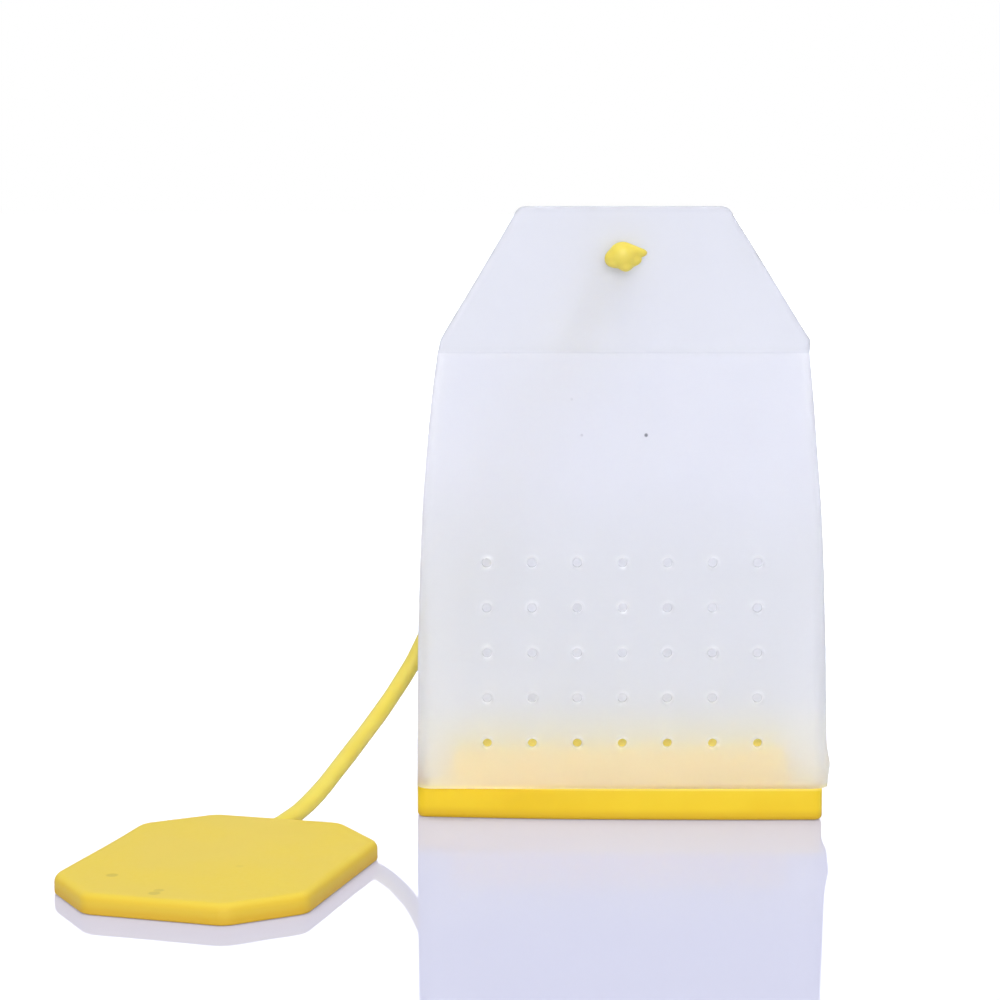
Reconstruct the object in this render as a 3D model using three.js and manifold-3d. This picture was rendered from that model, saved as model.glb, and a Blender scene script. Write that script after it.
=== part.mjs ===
// A silicone tea infuser in the shape of a tea bag. A soft pouch stands on its push-in plug, and a cord
// runs from the pouch's flap to a flat tag that lies on the table.
// Millimetres, +Z up, +X to the right, the front towards -Y. The origin is on the table, under the
// middle of the pouch.

import * as THREE from 'three';
import { mergeVertices } from 'three/addons/utils/BufferGeometryUtils.js';
import Module from 'manifold-3d';

const wasm = await Module();
wasm.setup();

// Plug: a bar under the pouch's mouth, and a tongue that reaches up into the mouth
const plugHeight = 3.6;
const plugEndInset = 0.25; // the bar is this much shorter than the pouch at each end
const plugOffCentre = -0.25; // it sits a little to the left in the mouth
const plugCornerRadius = 1; // seen from above
const plugEdgeRadius = 0.6; // underneath
const plugTopEdgeRadius = 0.3;
const tongueHeight = 5;
const tongueSideGap = 0.3; // to the pouch's front and back walls
const tongueEndGap = 2.7; // to the pouch's side walls

// Pouch: a wedge that is open at the bottom, under a flat flap
const mouthWidth = 45;
const mouthDepth = 10;
const mouthCornerRadius = 1.8; // seen from above
const shoulderWidth = 40.3;
const bodyHeight = 48.9;
const sideBow = 2.5; // power of the sides' curve up to the shoulder: a higher one bends later
const flapTopWidth = 22.8;
const flapHeight = 14.45;
const flapThickness = 2.6;
const flapEdgeRadius = 0.9; // of its upright edges, seen from above
const flapTopRadius = 0.5;
const wall = 1.1;
const rimFlat = 0.3; // the level ring at the mouth that rests on the bar
const pocketTopDepth = 0.6; // the tea pocket ends where it has narrowed to this

// Steeping holes, the same in the front and the back wall
const holeDiameter = 1.1;
const holeColumns = 7;
const holeRows = 5;
const holePitch = 4.93;
const lowestHoleHeight = 5.05; // above the mouth's rim

// Cord, with the barbed end that holds it in the flap
const cordDiameter = 1.9;
const flapHoleHeight = 9; // above the shoulder
const flapHoleGap = 0.3; // around the cord's neck
const meetingGap = 0.3; // between pieces of one moulding, and under the barb
const neckReach = 0.5; // the neck stands this far out behind the flap
const barbWidth = 4.1;
const barbHeight = 3.2;
const barbDepth = 2.3;
const lobeDiameter = 1.7; // of the two lobes on the barb, right and left
const rightLobeReach = 1.7;
const rightLobeRise = 0.2;
const leftLobeReach = 1.15;
const leftLobeDrop = 0.65;

// Tag: an oblong plate with its corners cut off, lying on the table
const tagLength = 33.2; // towards the cord
const tagWidth = 26.7;
const tagThickness = 2.1;
const tagCornerCut = 6.1;
const tagCornerRadius = 2.2; // of the eight corners, seen from above
const tagEdgeRadius = 0.8; // of the edges, seen from the side
const tagCentreX = -41.6;
const tagCentreY = -27.4;
const tagTurn = 73.9; // degrees from +X to the end that the cord leaves

// Fineness of the curved surfaces
const cornerSteps = 5;
const edgeSteps = 3;
const bodyLevels = 9;
const holeSides = 10;
const cordSides = 8;
const cordSteps = 30;
const ballSides = 14; // of the barb's lump, lobes and neck
const smallestRadius = 0.1; // of a corner that its wall leaves little room

// The cord's line from the neck behind the flap, down behind the pouch and round its left side to the tag
const cordRoute = [
  [0, 2.1, 61.5],
  [-0.1, 4.3, 61.4],
  [-0.5, 6.5, 60.6],
  [-1.3, 8.3, 58.7],
  [-2.5, 9.3, 55.9],
  [-4.2, 9.7, 52.2],
  [-6.6, 9.8, 47.8],
  [-9.4, 9.9, 43.2],
  [-12.2, 10.2, 38],
  [-14.8, 10.7, 32.4],
  [-17.3, 11.3, 27],
  [-19.7, 11.9, 22],
  [-21.8, 12.3, 17.9],
  [-23.6, 12.1, 14.3],
  [-25.1, 10.8, 12],
  [-26.6, 8.7, 10],
  [-28.1, 5.9, 8.3],
  [-29.7, 2.2, 6.7],
  [-31.5, -1.9, 4.95],
  [-33.2, -5.5, 3.35],
  [-35, -8.5, 2.05],
  [-36.9, -11.2, 1.15],
];

// Heights that the pieces share
const rimHeight = plugHeight;
const shoulderHeight = rimHeight + bodyHeight;
const topHeight = shoulderHeight + flapHeight;
const roofHeight = rimHeight
  + bodyHeight * (mouthDepth - 2 * wall - pocketTopDepth) / (mouthDepth - flapThickness);
const flapHoleCentre = shoulderHeight + flapHoleHeight;
const cutMargin = 2; // how far a cutting body reaches past what it cuts

// The pouch's half width: a long even curve up to the shoulder, then straight to the flap's top
function halfWidthAt(height) {
  if (height > shoulderHeight) {
    const rise = (height - shoulderHeight) / flapHeight;
    return THREE.MathUtils.lerp(shoulderWidth, flapTopWidth, rise) / 2;
  }
  const rise = Math.max(height - rimHeight, 0) / bodyHeight;
  return THREE.MathUtils.lerp(mouthWidth, shoulderWidth, rise ** sideBow) / 2;
}

// A size that changes evenly from the mouth to the shoulder and then stays as it is
function taper(atMouth, atShoulder, height) {
  const rise = THREE.MathUtils.clamp((height - rimHeight) / bodyHeight, 0, 1);
  return THREE.MathUtils.lerp(atMouth, atShoulder, rise);
}

function halfDepthAt(height) {
  return taper(mouthDepth, flapThickness, height) / 2;
}

function cornerRadiusAt(height) {
  return taper(mouthCornerRadius, flapEdgeRadius, height);
}

// A level ring of points around a rectangle with round corners
function roundedRing(halfX, halfY, radius, height) {
  const ring = [];
  const corner = Math.max(Math.min(radius, halfX, halfY), smallestRadius);
  const signs = [[1, 1], [-1, 1], [-1, -1], [1, -1]];
  signs.forEach(([signX, signY], quarter) => {
    for (let step = 0; step <= cornerSteps; step += 1) {
      const angle = (quarter + step / cornerSteps) * Math.PI / 2;
      const x = signX * (halfX - corner) + corner * Math.cos(angle);
      const y = signY * (halfY - corner) + corner * Math.sin(angle);
      ring.push(new THREE.Vector3(x, y, height));
    }
  });
  return ring;
}

// The pouch's section at a height, moved in by a distance
function pouchRing(height, inset, level = height) {
  return roundedRing(
    halfWidthAt(height) - inset,
    halfDepthAt(height) - inset,
    cornerRadiusAt(height) - inset,
    level,
  );
}

// A closed skin over level rings, from the lowest to the highest
function loft(rings) {
  const count = rings[0].length;
  const faces = [];
  for (let level = 0; level < rings.length - 1; level += 1) {
    for (let point = 0; point < count; point += 1) {
      const low = level * count + point;
      const lowNext = level * count + (point + 1) % count;
      faces.push(low, lowNext, lowNext + count);
      faces.push(low, lowNext + count, low + count);
    }
  }
  const top = (rings.length - 1) * count;
  for (let point = 1; point < count - 1; point += 1) {
    faces.push(0, point + 1, point);
    faces.push(top, top + point, top + point + 1);
  }
  const geometry = new THREE.BufferGeometry().setFromPoints(rings.flat());
  geometry.setIndex(faces);
  return geometry;
}

// A closed geometry as a solid that can be joined and cut
function solidOf(geometry) {
  const bare = geometry.clone();
  bare.deleteAttribute('normal');
  bare.deleteAttribute('uv');
  const merged = mergeVertices(bare);
  const mesh = new wasm.Mesh({
    numProp: 3,
    vertProperties: merged.attributes.position.array,
    triVerts: new Uint32Array(merged.index.array),
  });
  return new wasm.Manifold(mesh);
}

function geometryOf(solid) {
  const mesh = solid.getMesh();
  const geometry = new THREE.BufferGeometry();
  geometry.setAttribute('position', new THREE.BufferAttribute(mesh.vertProperties, 3));
  geometry.setIndex(new THREE.BufferAttribute(mesh.triVerts, 1));
  geometry.computeVertexNormals();
  return geometry;
}

// Levels from one height to another, both counted
function levelsBetween(low, high, count) {
  return Array.from({ length: count }, (_, index) => THREE.MathUtils.lerp(low, high, index / (count - 1)));
}

// The quarter circle of an edge, as [inset, distance from the end face] from the face to the side
function edgeArc(radius) {
  return levelsBetween(0, Math.PI / 2, edgeSteps).map((angle) => [
    radius * (1 - Math.sin(angle)),
    radius * (1 - Math.cos(angle)),
  ]);
}

// A round cutter from front to back, at a place across and above the pouch
function frontToBackPin(diameter, x, z) {
  const length = mouthDepth + 2 * cutMargin;
  const geometry = new THREE.CylinderGeometry(diameter / 2, diameter / 2, length, holeSides);
  geometry.translate(x, 0, z);
  return geometry;
}

// Pouch
function pouchGeometry() {
  const rimArc = edgeArc(wall - rimFlat);
  const topArc = edgeArc(flapTopRadius);
  const rimRings = rimArc.map(([inset, rise]) => pouchRing(rimHeight + rise, inset));
  const bodyStart = rimHeight + wall - rimFlat;
  const bodyRings = levelsBetween(bodyStart, shoulderHeight, bodyLevels).slice(1).map((z) => pouchRing(z, 0));
  const topRings = topArc.reverse().map(([inset, drop]) => pouchRing(topHeight - drop, inset));
  let pouch = solidOf(loft([...rimRings, ...bodyRings, ...topRings]));

  const pocketRings = levelsBetween(rimHeight, roofHeight, bodyLevels).map((z) => pouchRing(z, wall));
  const mouthRing = pouchRing(rimHeight, wall, rimHeight - cutMargin);
  pouch = pouch.subtract(solidOf(loft([mouthRing, ...pocketRings])));

  for (let row = 0; row < holeRows; row += 1) {
    for (let column = 0; column < holeColumns; column += 1) {
      const x = (column - (holeColumns - 1) / 2) * holePitch;
      const z = rimHeight + lowestHoleHeight + row * holePitch;
      pouch = pouch.subtract(solidOf(frontToBackPin(holeDiameter, x, z)));
    }
  }
  const flapHoleDiameter = cordDiameter + 2 * flapHoleGap;
  return geometryOf(pouch.subtract(solidOf(frontToBackPin(flapHoleDiameter, 0, flapHoleCentre))));
}

// Plug
function plugGeometry() {
  const halfX = mouthWidth / 2 - plugEndInset;
  const halfY = mouthDepth / 2;
  const barRing = (inset, z) => roundedRing(halfX - inset, halfY - inset, plugCornerRadius - inset, z);
  const lowRings = edgeArc(plugEdgeRadius).map(([inset, rise]) => barRing(inset, rise));
  const highRings = edgeArc(plugTopEdgeRadius).reverse().map(([inset, drop]) => barRing(inset, plugHeight - drop));
  const bar = solidOf(loft([...lowRings, ...highRings]));

  const tongueRings = levelsBetween(rimHeight, rimHeight + tongueHeight, edgeSteps).map((z) => roundedRing(
    halfWidthAt(z) - wall - tongueEndGap,
    halfDepthAt(z) - wall - tongueSideGap,
    cornerRadiusAt(z) - wall - tongueSideGap,
    z,
  ));
  const foot = tongueRings[0].map((point) => new THREE.Vector3(point.x, point.y, plugHeight / 2));
  return geometryOf(bar.add(solidOf(loft([foot, ...tongueRings]))));
}

// The barb: a flattened lump with two lobes in front of the flap, and the neck through it
function barbGeometry() {
  const lump = new THREE.SphereGeometry(1 / 2, ballSides, ballSides / 2);
  lump.scale(barbWidth, barbDepth, barbHeight);
  const rightLobe = new THREE.SphereGeometry(lobeDiameter / 2, ballSides, ballSides / 2);
  rightLobe.translate(rightLobeReach, 0, rightLobeRise);
  const leftLobe = new THREE.SphereGeometry(lobeDiameter / 2, ballSides, ballSides / 2);
  leftLobe.translate(-leftLobeReach, 0, -leftLobeDrop);
  const neckLength = barbDepth / 2 + meetingGap + flapThickness + neckReach;
  const neck = new THREE.CylinderGeometry(cordDiameter / 2, cordDiameter / 2, neckLength, ballSides);
  neck.translate(0, neckLength / 2, 0);
  const solid = [rightLobe, leftLobe, neck].reduce((joined, piece) => joined.add(solidOf(piece)), solidOf(lump));
  return geometryOf(solid);
}

// Cord
function cordGeometry() {
  const line = new THREE.CatmullRomCurve3(cordRoute.map((point) => new THREE.Vector3(...point)));
  const section = new THREE.Shape();
  for (let side = 0; side < cordSides; side += 1) {
    const angle = side / cordSides * 2 * Math.PI;
    const point = [cordDiameter / 2 * Math.cos(angle), cordDiameter / 2 * Math.sin(angle)];
    if (side === 0) {
      section.moveTo(...point);
    } else {
      section.lineTo(...point);
    }
  }
  section.closePath();
  return new THREE.ExtrudeGeometry(section, { steps: cordSteps, extrudePath: line });
}

// Tag, its length along its own X
function tagGeometry() {
  const halfX = tagLength / 2 - tagEdgeRadius;
  const halfY = tagWidth / 2 - tagEdgeRadius;
  const cut = tagCornerCut - tagEdgeRadius * (2 - Math.SQRT2);
  const cornerReach = (tagCornerRadius - tagEdgeRadius) * Math.tan(Math.PI / 8);
  const corners = [
    [halfX - cut, -halfY], [halfX, -halfY + cut], [halfX, halfY - cut], [halfX - cut, halfY],
    [-halfX + cut, halfY], [-halfX, halfY - cut], [-halfX, -halfY + cut], [-halfX + cut, -halfY],
  ].map(([x, y]) => new THREE.Vector2(x, y));
  const outline = new THREE.Shape();
  corners.forEach((corner, index) => {
    const before = corners[(index + corners.length - 1) % corners.length];
    const after = corners[(index + 1) % corners.length];
    const arrive = corner.clone().add(before.clone().sub(corner).setLength(cornerReach));
    const leave = corner.clone().add(after.clone().sub(corner).setLength(cornerReach));
    if (index === 0) {
      outline.moveTo(arrive.x, arrive.y);
    } else {
      outline.lineTo(arrive.x, arrive.y);
    }
    outline.quadraticCurveTo(corner.x, corner.y, leave.x, leave.y);
  });
  outline.closePath();
  const geometry = new THREE.ExtrudeGeometry(outline, {
    depth: tagThickness - 2 * tagEdgeRadius,
    bevelThickness: tagEdgeRadius,
    bevelSize: tagEdgeRadius,
    bevelSegments: edgeSteps,
    curveSegments: edgeSteps,
  });
  return geometry.translate(0, 0, tagEdgeRadius);
}

const pouchSilicone = { color: 0xe4e4ee, roughness: 0.45, metalness: 0 };
const yellowSilicone = { color: 0xf5d13c, roughness: 0.5, metalness: 0 };
const cordSilicone = { color: 0xeede5a, roughness: 0.5, metalness: 0 };

function piece(name, geometry, finish) {
  const mesh = new THREE.Mesh(geometry, new THREE.MeshStandardMaterial(finish));
  mesh.name = name;
  return mesh;
}

const pouch = piece('bag', pouchGeometry(), pouchSilicone);

const plug = piece('stopper', plugGeometry(), yellowSilicone);
plug.position.x = plugOffCentre;

const barb = piece('cord_knob', barbGeometry(), yellowSilicone);
barb.position.set(0, -flapThickness / 2 - meetingGap - barbDepth / 2, flapHoleCentre);

const cord = piece('cord', cordGeometry(), cordSilicone);

const tag = piece('tag', tagGeometry(), yellowSilicone);
tag.position.set(tagCentreX, tagCentreY, 0);
tag.rotation.z = THREE.MathUtils.degToRad(tagTurn);

const infuser = new THREE.Group();
infuser.add(plug, pouch, barb, cord, tag);

export default infuser;
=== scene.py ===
import bmesh
import bpy
import numpy as np
from math import pi, radians
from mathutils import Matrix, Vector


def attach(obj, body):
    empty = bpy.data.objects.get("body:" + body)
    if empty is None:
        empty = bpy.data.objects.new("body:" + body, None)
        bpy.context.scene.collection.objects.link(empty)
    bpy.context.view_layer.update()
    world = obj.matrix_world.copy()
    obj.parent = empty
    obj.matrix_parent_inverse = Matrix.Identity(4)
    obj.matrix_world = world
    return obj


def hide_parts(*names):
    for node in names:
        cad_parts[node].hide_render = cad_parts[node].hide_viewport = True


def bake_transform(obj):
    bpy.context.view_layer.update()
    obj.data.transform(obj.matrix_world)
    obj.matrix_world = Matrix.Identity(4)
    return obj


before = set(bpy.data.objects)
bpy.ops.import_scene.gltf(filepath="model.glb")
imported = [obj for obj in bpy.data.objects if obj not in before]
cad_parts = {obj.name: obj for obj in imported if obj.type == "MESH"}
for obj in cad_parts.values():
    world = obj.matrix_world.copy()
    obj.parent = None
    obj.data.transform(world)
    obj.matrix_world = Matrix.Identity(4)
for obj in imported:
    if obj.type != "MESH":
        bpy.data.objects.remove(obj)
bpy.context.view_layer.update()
mm = 0.001  # lengths below are in millimetres, meshes in metres
arcPoints = 7  # points along each rounded edge

# The camera stands where a fit to the pouch, the tag and their mirror images put it.
view = {"lens": 90, "sensor": 36, "place": (-13.4, -273.0, 67.5), "pitchDown": 6.82, "reach": (0.01, 100)}


def makeCamera():
    camera = bpy.data.objects.new("camera", bpy.data.cameras.new("camera"))
    camera.data.lens = view["lens"]
    camera.data.sensor_width = view["sensor"]
    camera.data.clip_start, camera.data.clip_end = view["reach"]
    camera.location = [length * mm for length in view["place"]]
    camera.rotation_euler = (radians(90 - view["pitchDown"]), 0, 0)
    bpy.context.scene.collection.objects.link(camera)
    bpy.context.scene.camera = camera


# Puts points and faces into a mesh, closes its poles and seams and shades it smooth.
def meshObject(name, points, faces):
    mesh = bpy.data.meshes.new(name)
    mesh.from_pydata((points * mm).tolist(), [], faces)
    work = bmesh.new()
    work.from_mesh(mesh)
    bmesh.ops.remove_doubles(work, verts=work.verts, dist=1e-7)
    bmesh.ops.dissolve_degenerate(work, edges=work.edges, dist=1e-8)
    work.to_mesh(mesh)
    work.free()
    mesh.shade_smooth()
    made = bpy.data.objects.new(name, mesh)
    bpy.context.scene.collection.objects.link(made)
    return made


# Four corner numbers for each cell of a grid of rows and columns, the columns running round.
def gridCells(rows, columns):
    row = np.arange(rows - 1)[:, None] * columns
    column = np.arange(columns)[None, :]
    following = (column + 1) % columns
    corners = [row + column, row + following, row + columns + following, row + columns + column]
    return np.stack(corners, axis=-1)


# Faces of a closed loft: bands between the rings, and both ends zipped shut, each front point to the point
# behind it.
def loftFaces(rows, around, cells=None):
    cells = gridCells(rows, around).reshape(-1, 4) if cells is None else cells
    half = around // 2
    first = np.arange(half)
    other = (around - first) % around
    zip4 = np.stack([first, first + 1, (around - first - 1) % around, other], axis=-1)
    ends = [zip4[:, ::-1], zip4 + (rows - 1) * around]
    faces = cells.tolist()
    for end in ends:
        for corners in end.tolist():
            faces.append(list(dict.fromkeys(corners)))
    return faces


# Centripetal Catmull-Rom curve: each span blends its four nearest points by the square roots of their
# distances.
def smoothRoute(points, perSpan):
    ends = np.vstack([2 * points[0] - points[1], points, 2 * points[-1] - points[-2]])
    p = [ends[k:len(ends) - 3 + k, None, :] for k in range(4)]
    gap = [np.sqrt(np.linalg.norm(p[k + 1] - p[k], axis=-1, keepdims=True)) for k in range(3)]
    knot = [0 * gap[0], gap[0], gap[0] + gap[1], gap[0] + gap[1] + gap[2]]
    t = knot[1] + gap[1] * np.linspace(0, 1, perSpan, endpoint=False)[None, :, None]

    def between(a, b, ta, tb):
        return ((tb - t) * a + (t - ta) * b) / (tb - ta)

    low = [between(p[k], p[k + 1], knot[k], knot[k + 1]) for k in range(3)]
    mid = [between(low[k], low[k + 1], knot[k], knot[k + 2]) for k in range(2)]
    curve = between(mid[0], mid[1], knot[1], knot[2])
    return np.vstack([curve.reshape(-1, 3), points[-1]])


# Tube: each ring is a circle square to the route, with its own radius. The rings share one sideways
# reference, which the route never runs along, so they don't twist.
def tubePoints(route, radius, around, reference):
    ahead = np.gradient(route, axis=0)
    ahead /= np.linalg.norm(ahead, axis=1, keepdims=True)
    side = np.cross(ahead, reference)
    side /= np.linalg.norm(side, axis=1, keepdims=True)
    up = np.cross(side, ahead)
    turn = 2 * pi * np.arange(around) / around
    ring = np.cos(turn)[None, :, None] * side[:, None, :] + np.sin(turn)[None, :, None] * up[:, None, :]
    return (route[:, None, :] + radius[:, None, None] * ring).reshape(-1, 3)


# The cord leaves the back of the flap, comes down behind the pouch and out at its left side, to the tag.
cord = {
    "diameter": 1.9, "length": 87.9, "around": 20, "perSpan": 9, "swell": 0.012, "swellTurn": 0.37,
    "neckShare": 0.96, "closedRadius": 1e-6, "closedBy": 0.01,
    "intoNeck": 0.5, "intoTag": (-37.7, -12.3, 1.0), "reference": (0.8, 0.0, -0.6),
    "route": [
        (0, 2.1, 61.5), (-0.1, 4.3, 61.4), (-0.5, 6.5, 60.6), (-1.3, 8.3, 58.7), (-2.5, 9.3, 55.9),
        (-4.2, 9.7, 52.2), (-6.6, 9.8, 47.8), (-9.4, 9.9, 43.2), (-12.2, 10.2, 38), (-14.8, 10.7, 32.4),
        (-17.3, 11.3, 27), (-19.7, 11.9, 22), (-21.8, 12.3, 17.9), (-23.6, 12.1, 14.3), (-25.1, 10.8, 12),
        (-26.6, 8.7, 10), (-28.1, 5.9, 8.3), (-29.7, 2.2, 6.7), (-31.5, -1.9, 4.95), (-33.2, -5.5, 3.35),
        (-35, -8.5, 2.05), (-36.9, -11.2, 1.15),
    ],
}


def makeCord():
    points = np.array(cord["route"], float)
    route = smoothRoute(points, cord["perSpan"])
    start = route[0] - [0, cord["intoNeck"], 0]
    path = np.vstack([start, route, cord["intoTag"]])
    radius = np.full(len(path), cord["diameter"] / 2)
    radius *= 1 + cord["swell"] * np.sin(cord["swellTurn"] * np.arange(len(path)))
    radius[0] *= cord["neckShare"]
    # a ring of almost no size at each end closes the tube
    closed, by = [cord["closedRadius"]], cord["closedBy"]
    path = np.vstack([path[0] - [0, by, 0], path, path[-1] + (path[-1] - path[-2]) * by])
    radius = np.concatenate([closed, radius, closed])
    reference = np.array(cord["reference"])
    points = tubePoints(path, radius, cord["around"], reference)
    made = meshObject("cord_line", points, loftFaces(len(path), cord["around"]))
    return made, (route * mm).tolist()


# Outlines of the levels of the pouch or plug: each from the left middle round the corner, along the front,
# and mirrored behind.
def levelRings(z, halfX, halfY, radius, frontX, cornerSteps, sideSteps):
    z, halfX, halfY, radius = [values[:, None] for values in (z, halfX, halfY, radius)]
    side = np.linspace(0, 1, sideSteps, endpoint=False)[None, :]
    turn = np.linspace(0, pi / 2, cornerSteps, endpoint=False)[None, :]
    leftX = np.hstack([-halfX + 0 * side, radius - halfX - radius * np.cos(turn)])
    leftY = np.hstack([-(halfY - radius) * side, radius - halfY - radius * np.sin(turn)])
    x = np.hstack([leftX, frontX, -leftX[:, ::-1]])
    y = np.hstack([leftY, -halfY + 0 * frontX, leftY[:, ::-1]])
    x = np.hstack([x, x[:, -2:0:-1]])
    y = np.hstack([y, -y[:, -2:0:-1]])
    return np.stack([x, y, z + 0 * x], axis=-1)


# Pouch: a hollow wedge, open below, under a flat flap. Depths and widths are of the outside.
pouch = {
    "rim": 3.6, "shoulder": 52.5, "top": 66.95, "mouthWidth": 45.0, "mouthDepth": 10.0, "mouthCorner": 1.8,
    "sideBow": 2.5, "smallestCorner": 0.3,
    # height and how far the left and the right edge stand to the right of the even form
    "edgeHeights": [4.2, 6.0, 8.3, 13, 24, 29.5, 35, 40.4, 48, 51.2, 51.9, 52.6, 53.6, 59, 63, 66],
    "leftEdge": [0, 0, 0, 0, -0.07, -0.09, -0.14, -0.1, 0, 0.08, 0.18, 0.22, 0.16, 0.17, 0.1, 0.05],
    "rightEdge": [0.18, 0.45, 0.06, 0, -0.03, 0, 0, -0.07, 0.02, 0.06, 0.22, 0.32, 0.22, 0.12, 0.05, -0.08],
    "shoulderWidth": 40.3, "flapTopWidth": 22.8, "flapThickness": 2.6, "flapEdge": 0.9, "flapTopEdge": 0.5,
    "flapTopClose": 0.15, "topCorner": 1.3, "shoulderBlend": 0.12, "sideBlend": 0.07, "creaseReach": 0.5,
    "cornerShare": 0.98, "wall": 1.1, "rimFlat": 1.05, "roof": 51.2, "roofRound": 0.3,
    # how many levels lie under and over the holes, at the crease, and on either side of the cord's hole
    "underHoles": 4, "overHolesInside": 20, "overHoles": 24, "atCrease": 5, "underCord": 9, "overCord": 5,
    "holeColumns": 7, "holeRows": 5, "holePitch": 4.93, "lowestHole": 8.53,
    "hole": 0.98, "holeRound": 0.32, "backHigher": 0.35, "cellSteps": 6, "edgeSteps": 3, "cornerSteps": 6,
    "sideSteps": 2, "cordHole": 1.9, "cordHoleHeight": 61.5, "cordCell": 8, "cordCellReach": 2.3,
    # how far each ring of a hole stands outside its bore, at the outer edge as a share of its rounding, and
    # how deep it lies under the nearer face
    "holeEdge": [(2.2, 0), (1.5, 0), (1, 0.01), (0.7, 0.03), (0.4, 0.1), (0.2, 0.18), (0.07, 0.28),
                 (0, 0.42)],
    "holeInnerEdge": [(0, 0.14), (0.05, 0.03), (0.15, 0), (0.5, 0)],
    "cordHoleEdge": [(0.5, 0), (0.2, 0), (0.06, 0.06), (0, 0.2)],
    # painted light: shares of a glow painted at the holes' linings, of a painted highlight in arcs above the
    # holes, and of painted light along the lower sides
    "paintedLiningGlow": 1.0, "liningFrom": 0.2, "liningFade": 0.15, "paintedArcHighlight": 1.0, "arcMiddle": 0.7,
    "paintedSideGlow": 0.3, "sideGlowReach": 5.0, "sideGlowFrom": 44.0, "sideGlowFull": 13.0,
    # a point this little under the outer face is on it, and one past this share of the wall is on the inner
    "onOuterFace": 0.1, "onInnerFace": 0.6,
}


def smoothLow(a, b, blend):  # the lower of two values, with a rounded change-over
    return 0.5 * (a + b - np.sqrt((a - b) ** 2 + 4 * blend ** 2))


def pouchHalfDepth(z):  # tapers straight from the mouth to the shoulder, then stays
    p = pouch
    rise = (z - p["rim"]) / (p["shoulder"] - p["rim"])
    slope = p["mouthDepth"] + (p["flapThickness"] - p["mouthDepth"]) * rise
    return -smoothLow(-slope, -p["flapThickness"] + 0 * z, p["shoulderBlend"]) / 2


def pouchHalfWidth(z):  # bows in by a power law up to the shoulder, then slants straight to the top
    p = pouch
    rise = (z - p["rim"]) / (p["shoulder"] - p["rim"])
    body = p["mouthWidth"] + (p["shoulderWidth"] - p["mouthWidth"]) * np.maximum(rise, 0) ** p["sideBow"]
    climb = (z - p["shoulder"]) / (p["top"] - p["shoulder"])
    flap = p["shoulderWidth"] + (p["flapTopWidth"] - p["shoulderWidth"]) * climb
    width = smoothLow(body, flap, p["sideBlend"]) / 2
    # the top corner is an arc that starts on the slanted side and ends level with the top
    slant = np.arctan2((p["shoulderWidth"] - p["flapTopWidth"]) / 2, p["top"] - p["shoulder"])
    r = p["topCorner"]
    centreX = p["flapTopWidth"] / 2 - r * np.tan((pi / 2 - slant) / 2)
    centreZ = p["top"] - r
    arc = centreX + np.sqrt(np.maximum(r ** 2 - (z - centreZ) ** 2, 0))
    return np.where(z > centreZ + r * np.sin(slant), np.minimum(width, arc), width)


def pouchCorner(z):
    p = pouch
    rise = np.clip((z - p["rim"]) / (p["shoulder"] - p["rim"]), 0, 1)
    return p["mouthCorner"] + (p["flapEdge"] - p["mouthCorner"]) * rise


# Levels of the pouch, from the roof of the pocket down its wall, round the rim and up the outside to the top.
# Each has a height, half its width and depth, and the radius of its corners. The cells follow the holes.
def pouchLevels():
    p = pouch
    cell = p["holePitch"] / p["cellSteps"]
    lattice = p["lowestHole"] - p["holePitch"] / 2 + cell * np.arange(p["holeRows"] * p["cellSteps"] + 1)
    quarter = np.linspace(0, pi / 2, arcPoints)
    roofStart = p["roof"] - p["roofRound"]
    roofZ = roofStart + p["roofRound"] * np.sin(quarter)
    inner = np.concatenate([np.linspace(p["rim"], lattice[0], p["underHoles"])[:-1], lattice,
                            np.linspace(lattice[-1], roofStart, p["overHolesInside"])[1:-1], roofZ])[::-1]
    depthShare = np.concatenate([np.ones(len(inner) - arcPoints), np.cos(quarter)])[::-1]
    outset = p["wall"] - p["rimFlat"]
    rimZ = p["rim"] + outset * (1 - np.cos(quarter))
    rimInset = outset * (1 - np.sin(quarter))
    cordZ = p["cordHoleHeight"] + np.linspace(-1, 1, p["cordCell"] + 1) * p["cordCellReach"]
    topStart = p["top"] - p["flapTopEdge"]
    topZ = topStart + p["flapTopEdge"] * np.sin(quarter)
    crease = p["shoulder"] + p["creaseReach"] * np.linspace(-1, 1, p["atCrease"])
    outer = np.concatenate([np.linspace(rimZ[-1], lattice[0], p["underHoles"])[1:-1], lattice,
                            np.linspace(lattice[-1], crease[0], p["overHoles"])[1:-1], crease,
                            np.linspace(crease[-1], cordZ[0], p["underCord"])[1:-1], cordZ,
                            np.linspace(cordZ[-1], topStart, p["overCord"])[1:-1], topZ, topZ[-1:]])
    height = np.concatenate([inner, rimZ, outer])
    inset = np.concatenate([np.full(len(inner), p["wall"]), rimInset, np.zeros(len(outer))])
    halfX = pouchHalfWidth(height) - inset
    halfY = pouchHalfDepth(height) - inset
    halfY[:len(inner)] *= depthShare
    halfX[:len(inner)] -= p["roofRound"] * (1 - depthShare)
    topFillet = np.append(p["flapTopEdge"] * (1 - np.cos(quarter)), p["flapTopEdge"] + p["flapTopClose"])
    halfY[-len(topFillet):] -= topFillet
    halfX[-1] -= p["flapTopClose"]
    radius = np.maximum(pouchCorner(height) - inset, p["smallestCorner"])
    radius = np.minimum(radius, halfY * p["cornerShare"])
    return height, halfX, halfY, radius, lattice, cordZ, len(inner)


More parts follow.
